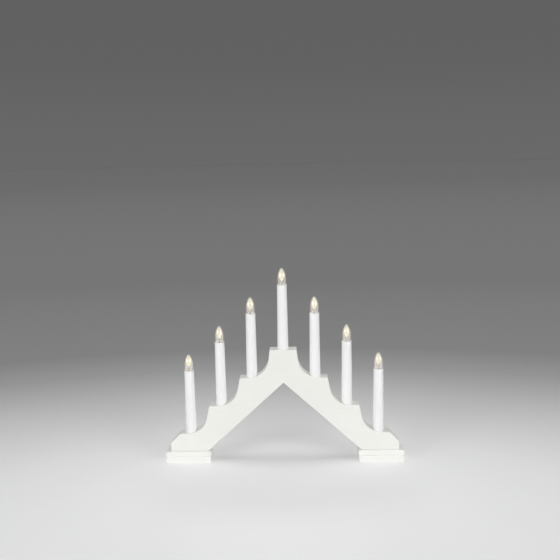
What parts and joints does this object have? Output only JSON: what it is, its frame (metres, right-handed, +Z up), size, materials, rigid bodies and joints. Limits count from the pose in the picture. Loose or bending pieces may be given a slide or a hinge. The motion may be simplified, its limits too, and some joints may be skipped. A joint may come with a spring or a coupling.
{
  "type": "candle arch",
  "caption": "Free-standing electric window candle arch: stepped white board on two feet, with tapered candle tubes that hold lit screw bulbs.",
  "frame": {"origin": "on the surface it stands on, under the middle of the board", "axes": "+X across the arch to the viewer's right, +Y from its front to its back, +Z up"},
  "size_m": [0.385, 0.038, 0.3149],
  "materials": {
    "painted_board": "smooth satin white paint on a machined board",
    "painted_foot": "smooth satin white paint on a profiled batten",
    "painted_cover": "white paint",
    "candle_plastic": "smooth white moulded plastic, soft gloss",
    "holder_plastic": "white moulded heat-resistant plastic",
    "socket_brass": "rolled brass",
    "cap_nickel": "nickel-plated brass",
    "tip_solder": "solder pip in a dark insulating plug",
    "bulb_glass": "clear blown glass",
    "bulb_core": "warm white, lit",
    "wire_jacket": "white wire jacket",
    "tinned_crimp": "tinned",
    "screw_steel": "zinc plated",
    "bush_plastic": "white moulded plastic"
  },
  "bodies": {
    "root": {"arch_board": "painted_board", "left_foot": "painted_foot", "right_foot": "painted_foot", "foot_screws": "screw_steel", "left_cover_strip": "painted_cover", "right_cover_strip": "painted_cover", "cover_screws": "screw_steel", "cord_bush": "bush_plastic", "crimp_sleeves": "tinned_crimp", "supply_wires": "wire_jacket", "socket_shells": "socket_brass", "socket_contacts": "socket_brass", "link_wire_1": "wire_jacket", "link_wire_2": "wire_jacket", "link_wire_3": "wire_jacket", "link_wire_4": "wire_jacket", "link_wire_5": "wire_jacket", "link_wire_6": "wire_jacket", "candle_tube_1": "candle_plastic", "lampholder_1": "holder_plastic", "candle_tube_2": "candle_plastic", "lampholder_2": "holder_plastic", "candle_tube_3": "candle_plastic", "lampholder_3": "holder_plastic", "candle_tube_4": "candle_plastic", "lampholder_4": "holder_plastic", "candle_tube_5": "candle_plastic", "lampholder_5": "holder_plastic", "candle_tube_6": "candle_plastic", "lampholder_6": "holder_plastic", "candle_tube_7": "candle_plastic", "lampholder_7": "holder_plastic"},
    "tip_1": {"bulb_tip_1": "tip_solder"},
    "bulb_1": {"bulb_cap_1": "cap_nickel", "bulb_glass_1": "bulb_glass", "bulb_core_1": "bulb_core"},
    "tip_2": {"bulb_tip_2": "tip_solder"},
    "bulb_2": {"bulb_cap_2": "cap_nickel", "bulb_glass_2": "bulb_glass", "bulb_core_2": "bulb_core"},
    "tip_3": {"bulb_tip_3": "tip_solder"},
    "bulb_3": {"bulb_cap_3": "cap_nickel", "bulb_glass_3": "bulb_glass", "bulb_core_3": "bulb_core"},
    "tip_4": {"bulb_tip_4": "tip_solder"},
    "bulb_4": {"bulb_cap_4": "cap_nickel", "bulb_glass_4": "bulb_glass", "bulb_core_4": "bulb_core"},
    "tip_5": {"bulb_tip_5": "tip_solder"},
    "bulb_5": {"bulb_cap_5": "cap_nickel", "bulb_glass_5": "bulb_glass", "bulb_core_5": "bulb_core"},
    "tip_6": {"bulb_tip_6": "tip_solder"},
    "bulb_6": {"bulb_cap_6": "cap_nickel", "bulb_glass_6": "bulb_glass", "bulb_core_6": "bulb_core"},
    "tip_7": {"bulb_tip_7": "tip_solder"},
    "bulb_7": {"bulb_cap_7": "cap_nickel", "bulb_glass_7": "bulb_glass", "bulb_core_7": "bulb_core"}
  },
  "joints": [
    {"name": "bulb_1_rise", "type": "slide", "parent": "root", "child": "tip_1", "axis": [0, 0, 1], "range_m": [0, 0.0073]},
    {"name": "bulb_1_turn", "type": "hinge", "parent": "tip_1", "child": "bulb_1", "pos_m": [-0.1524, 0, 0.1502], "axis": [0, 0, 1], "range_deg": [0, 1440]},
    {"name": "bulb_2_rise", "type": "slide", "parent": "root", "child": "tip_2", "axis": [0, 0, 1], "range_m": [0, 0.0073]},
    {"name": "bulb_2_turn", "type": "hinge", "parent": "tip_2", "child": "bulb_2", "pos_m": [-0.1016, 0, 0.1963], "axis": [0, 0, 1], "range_deg": [0, 1440]},
    {"name": "bulb_3_rise", "type": "slide", "parent": "root", "child": "tip_3", "axis": [0, 0, 1], "range_m": [0, 0.0073]},
    {"name": "bulb_3_turn", "type": "hinge", "parent": "tip_3", "child": "bulb_3", "pos_m": [-0.0508, 0, 0.2424], "axis": [0, 0, 1], "range_deg": [0, 1440]},
    {"name": "bulb_4_rise", "type": "slide", "parent": "root", "child": "tip_4", "axis": [0, 0, 1], "range_m": [0, 0.0073]},
    {"name": "bulb_4_turn", "type": "hinge", "parent": "tip_4", "child": "bulb_4", "pos_m": [0, 0, 0.2885], "axis": [0, 0, 1], "range_deg": [0, 1440]},
    {"name": "bulb_5_rise", "type": "slide", "parent": "root", "child": "tip_5", "axis": [0, 0, 1], "range_m": [0, 0.0073]},
    {"name": "bulb_5_turn", "type": "hinge", "parent": "tip_5", "child": "bulb_5", "pos_m": [0.0508, 0, 0.2424], "axis": [0, 0, 1], "range_deg": [0, 1440]},
    {"name": "bulb_6_rise", "type": "slide", "parent": "root", "child": "tip_6", "axis": [0, 0, 1], "range_m": [0, 0.0073]},
    {"name": "bulb_6_turn", "type": "hinge", "parent": "tip_6", "child": "bulb_6", "pos_m": [0.1016, 0, 0.1963], "axis": [0, 0, 1], "range_deg": [0, 1440]},
    {"name": "bulb_7_rise", "type": "slide", "parent": "root", "child": "tip_7", "axis": [0, 0, 1], "range_m": [0, 0.0073]},
    {"name": "bulb_7_turn", "type": "hinge", "parent": "tip_7", "child": "bulb_7", "pos_m": [0.1524, 0, 0.1502], "axis": [0, 0, 1], "range_deg": [0, 1440]}
  ],
  "couplings": [
    {"joint": "bulb_1_rise", "follows": "bulb_1_turn", "m_per_rad": 0.00028875},
    {"joint": "bulb_2_rise", "follows": "bulb_2_turn", "m_per_rad": 0.00028875},
    {"joint": "bulb_3_rise", "follows": "bulb_3_turn", "m_per_rad": 0.00028875},
    {"joint": "bulb_4_rise", "follows": "bulb_4_turn", "m_per_rad": 0.00028875},
    {"joint": "bulb_5_rise", "follows": "bulb_5_turn", "m_per_rad": 0.00028875},
    {"joint": "bulb_6_rise", "follows": "bulb_6_turn", "m_per_rad": 0.00028875},
    {"joint": "bulb_7_rise", "follows": "bulb_7_turn", "m_per_rad": 0.00028875}
  ]
}
